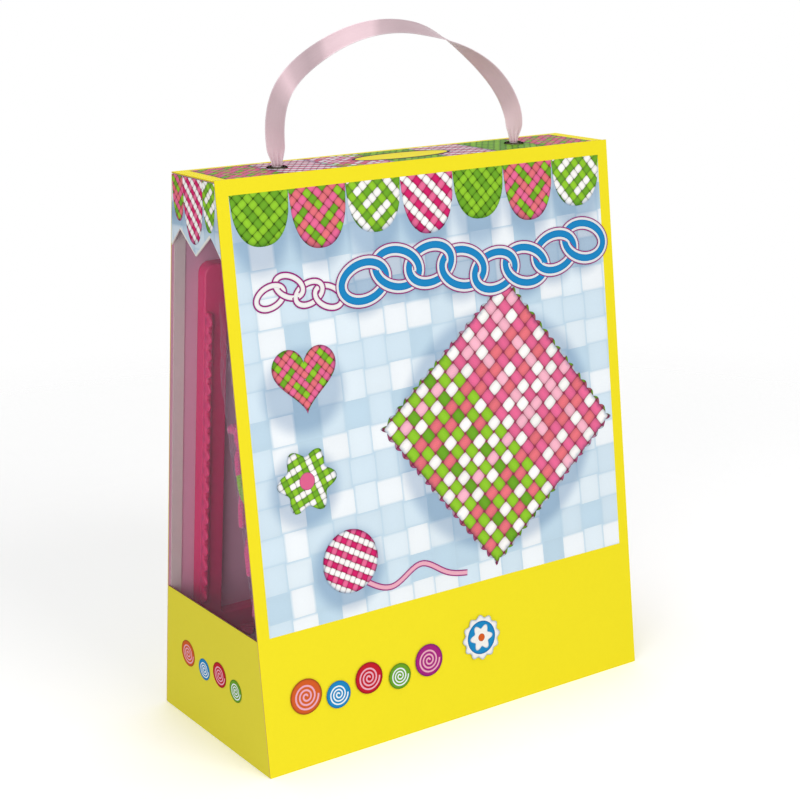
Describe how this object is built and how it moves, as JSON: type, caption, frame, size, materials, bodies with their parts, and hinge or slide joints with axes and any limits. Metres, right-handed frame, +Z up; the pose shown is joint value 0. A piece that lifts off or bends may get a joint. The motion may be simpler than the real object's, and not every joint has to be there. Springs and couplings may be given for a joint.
{
  "type": "potholder loom kit",
  "caption": "Tapered window carton with a ribbon handle, hinged lid and folding flaps, holding a pegged potholder loom, a bag of loops, a weaving hook and a booklet.",
  "frame": {"origin": "centre of the carton's base, on the table", "axes": "+X across the front panel to the right, +Y from the front panel to the back panel, +Z up"},
  "size_m": [0.25, 0.115, 0.3731],
  "materials": {
    "carton_card": "printed and varnished",
    "plain_card": "bare inside of the card",
    "window_film": "clear film",
    "bag_film": "clear thin film",
    "eyelet_metal": "dark nickel",
    "satin_ribbon": "satin",
    "loom_plastic": "moulded, semi-gloss",
    "hook_plastic": "moulded",
    "pink_cotton": "knitted cotton",
    "green_cotton": "knitted cotton",
    "white_cotton": "knitted cotton",
    "booklet_paper": "matt",
    "staple_wire": "bright"
  },
  "bodies": {
    "carton": {"front_panel": "carton_card", "back_panel": "carton_card", "left_side_base": "carton_card", "right_side_base": "carton_card", "left_side_header": "carton_card", "right_side_header": "carton_card", "left_window_film": "window_film", "right_window_film": "window_film", "back_seam_flap": "plain_card", "base_panel": "carton_card", "base_tuck_flap": "plain_card", "left_base_flap": "plain_card", "right_base_flap": "plain_card", "insert_platform": "plain_card", "weaving_hook": "hook_plastic", "instruction_booklet": "booklet_paper", "booklet_staples": "staple_wire"},
    "lid": {"lid_panel": "carton_card", "left_eyelet": "eyelet_metal", "right_eyelet": "eyelet_metal", "left_eyelet_washer": "eyelet_metal", "right_eyelet_washer": "eyelet_metal", "left_ribbon_knot": "satin_ribbon", "right_ribbon_knot": "satin_ribbon"},
    "tuck": {"lid_tuck_flap": "carton_card"},
    "left_dust": {"left_dust_flap": "carton_card"},
    "right_dust": {"right_dust_flap": "carton_card"},
    "handle": {"ribbon_handle": "satin_ribbon"},
    "loom": {"loom_frame": "loom_plastic"},
    "bag": {"loop_bag": "bag_film", "loops_pink": "pink_cotton", "loops_green": "green_cotton", "loops_white": "white_cotton"}
  },
  "joints": [
    {"name": "lid_hinge", "type": "hinge", "parent": "carton", "child": "lid", "pos_m": [0, 0.02214, 0.3028], "axis": [-1, 0, 0], "range_deg": [0, 110]},
    {"name": "tuck_fold", "type": "hinge", "parent": "lid", "child": "tuck", "pos_m": [0, -0.02014, 0.3025], "axis": [1, 0, 0], "range_deg": [0, 50]},
    {"name": "left_dust_fold", "type": "hinge", "parent": "carton", "child": "left_dust", "pos_m": [-0.1239, 0, 0.3017], "axis": [0, 1, 0], "range_deg": [0, 80]},
    {"name": "right_dust_fold", "type": "hinge", "parent": "carton", "child": "right_dust", "pos_m": [0.1239, 0, 0.3017], "axis": [0, -1, 0], "range_deg": [0, 80]},
    {"name": "handle_swing", "type": "hinge", "parent": "lid", "child": "handle", "pos_m": [0, 0, 0.3054], "axis": [1, 0, 0], "range_deg": [-75, 75]},
    {"name": "loom_lift", "type": "slide", "parent": "carton", "child": "loom", "axis": [0, -0.116, 0.9933], "range_m": [0, 0.04]},
    {"name": "bag_lift", "type": "slide", "parent": "carton", "child": "bag", "axis": [0, 0.116, 0.9933], "range_m": [0, 0.035]}
  ]
}
